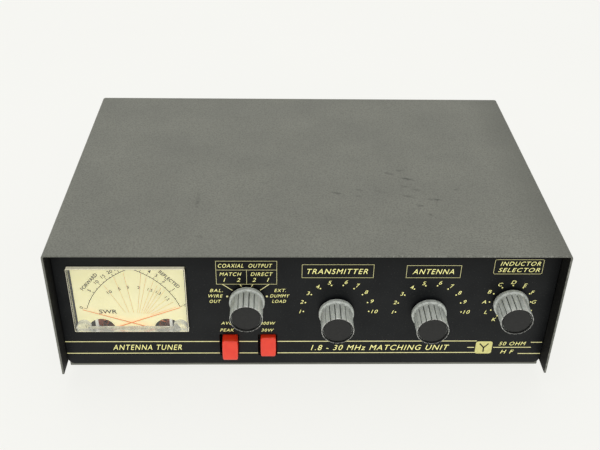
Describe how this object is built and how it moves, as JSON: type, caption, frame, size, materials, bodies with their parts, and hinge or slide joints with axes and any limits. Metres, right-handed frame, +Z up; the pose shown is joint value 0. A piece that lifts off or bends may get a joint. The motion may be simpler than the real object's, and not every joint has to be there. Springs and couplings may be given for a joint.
{
  "type": "antenna tuner",
  "caption": "Low steel-cased antenna tuner with a recessed black panel, a cross-needle meter, round grey control knobs, red push buttons and rear coaxial sockets.",
  "frame": {"origin": "centre of the bottom of the bounding box, on the plane of the rubber feet", "axes": "+X to the right as seen from the front, +Y from the front panel to the back, +Z up"},
  "size_m": [0.3042, 0.2172, 0.0998],
  "materials": {
    "cover_paint": "wrinkle-textured grey-olive stove enamel",
    "chassis_steel": "olive-grey stove enamel, smoother than the cover",
    "panel_black": "satin black",
    "panel_print": "gold-yellow screen print",
    "rubber": "matt",
    "plated": "bright nickel plate",
    "knob_grey": "satin moulded plastic",
    "knob_disc": "satin black disc",
    "button_red": "glossy moulded plastic",
    "white_plastic": "plain moulded plastic",
    "black_plastic": "plain moulded plastic",
    "clear": "clear acrylic",
    "dial_cream": "matt printed sheet",
    "dial_print": "matt ink",
    "needle_red": "matt orange-red",
    "aluminium": "as machined",
    "ceramic": "unglazed",
    "copper": "bare copper wire",
    "ferrite": "sintered, matt",
    "board_green": "solder-masked board",
    "brass": "bright turned brass",
    "terminal_red": "moulded plastic",
    "bulb": "clear glass"
  },
  "bodies": {
    "case": {"top_cover": "cover_paint", "chassis_tray": "chassis_steel", "forward_movement": "chassis_steel", "reflected_movement": "chassis_steel", "front_panel": "panel_black", "foot_front_left": "rubber", "foot_front_right": "rubber", "foot_rear_left": "rubber", "foot_rear_right": "rubber", "cover_screw_front_left": "plated", "cover_screw_rear_left": "plated", "cover_screw_front_right": "plated", "cover_screw_rear_right": "plated", "transmitter_socket": "plated", "antenna_one_socket": "plated", "antenna_two_socket": "plated", "dummy_load_socket": "plated", "coil_former": "white_plastic", "average_peak_switch": "black_plastic", "power_range_switch": "black_plastic", "meter_housing": "black_plastic", "lamp_jack": "black_plastic", "meter_cover": "clear", "meter_dial": "dial_cream", "transmitter_capacitor_frame": "aluminium", "transmitter_capacitor_stator": "aluminium", "antenna_capacitor_frame": "aluminium", "antenna_capacitor_stator": "aluminium", "output_switch": "ceramic", "inductor_switch": "ceramic", "inductor_coil": "copper", "balun_winding": "copper", "balun_core": "ferrite", "bridge_board": "board_green", "terminal_one_post": "brass", "terminal_two_post": "brass", "earth_stud": "brass", "meter_lamp": "bulb"},
    "output_selector": {"output_knob": "knob_grey", "output_knob_disc": "knob_disc", "output_shaft": "plated"},
    "transmitter_tuning": {"transmitter_knob": "knob_grey", "transmitter_knob_disc": "knob_disc", "transmitter_capacitor_rotor": "aluminium"},
    "antenna_tuning": {"antenna_knob": "knob_grey", "antenna_knob_disc": "knob_disc", "antenna_capacitor_rotor": "aluminium"},
    "inductor_selector": {"inductor_knob": "knob_grey", "inductor_knob_disc": "knob_disc", "inductor_shaft": "plated"},
    "average_peak_key": {"average_peak_button": "button_red", "average_peak_plunger": "white_plastic"},
    "power_range_key": {"power_range_button": "button_red", "power_range_plunger": "white_plastic"},
    "forward_pointer": {"forward_needle": "needle_red"},
    "reflected_pointer": {"reflected_needle": "needle_red"},
    "terminal_one_cap": {"terminal_one_nut": "terminal_red"},
    "terminal_two_cap": {"terminal_two_nut": "terminal_red"},
    "earth_clamp": {"earth_wing_nut": "brass"}
  },
  "joints": [
    {"name": "output_selector_turn", "type": "hinge", "parent": "case", "child": "output_selector", "pos_m": [-0.0359, -0.10115, 0.0598], "axis": [0, 1, 0], "range_deg": [-120, 30]},
    {"name": "transmitter_tuning_turn", "type": "hinge", "parent": "case", "child": "transmitter_tuning", "pos_m": [0.0177, -0.10115, 0.0508], "axis": [0, 1, 0], "range_deg": [-180, 0]},
    {"name": "antenna_tuning_turn", "type": "hinge", "parent": "case", "child": "antenna_tuning", "pos_m": [0.0738, -0.10115, 0.0503], "axis": [0, 1, 0], "range_deg": [-180, 0]},
    {"name": "inductor_selector_turn", "type": "hinge", "parent": "case", "child": "inductor_selector", "pos_m": [0.1226, -0.10115, 0.0577], "axis": [0, 1, 0], "range_deg": [-120, 210]},
    {"name": "average_peak_press", "type": "slide", "parent": "case", "child": "average_peak_key", "axis": [0, 1, 0], "range_m": [0, 0.004], "stiffness_N_per_m": 150, "springref_m": -0.002},
    {"name": "power_range_press", "type": "slide", "parent": "case", "child": "power_range_key", "axis": [0, 1, 0], "range_m": [-0.0031, 0.0009]},
    {"name": "forward_swing", "type": "hinge", "parent": "case", "child": "forward_pointer", "pos_m": [-0.0869, -0.10115, 0.0339], "axis": [0, 1, 0], "range_deg": [0, 50], "stiffness_Nm_per_rad": 0.0001, "springref_deg": -17.19},
    {"name": "reflected_swing", "type": "hinge", "parent": "case", "child": "reflected_pointer", "pos_m": [-0.1229, -0.10115, 0.0339], "axis": [0, -1, 0], "range_deg": [0, 50], "stiffness_Nm_per_rad": 0.0001, "springref_deg": -17.19},
    {"name": "terminal_one_turn", "type": "hinge", "parent": "case", "child": "terminal_one_cap", "pos_m": [-0.05, 0.10185, 0.0555], "axis": [0, 1, 0], "continuous": true},
    {"name": "terminal_two_turn", "type": "hinge", "parent": "case", "child": "terminal_two_cap", "pos_m": [-0.076, 0.10185, 0.0555], "axis": [0, 1, 0], "continuous": true},
    {"name": "earth_wing_turn", "type": "hinge", "parent": "case", "child": "earth_clamp", "pos_m": [-0.112, 0.09785, 0.0305], "axis": [0, 1, 0], "continuous": true}
  ]
}
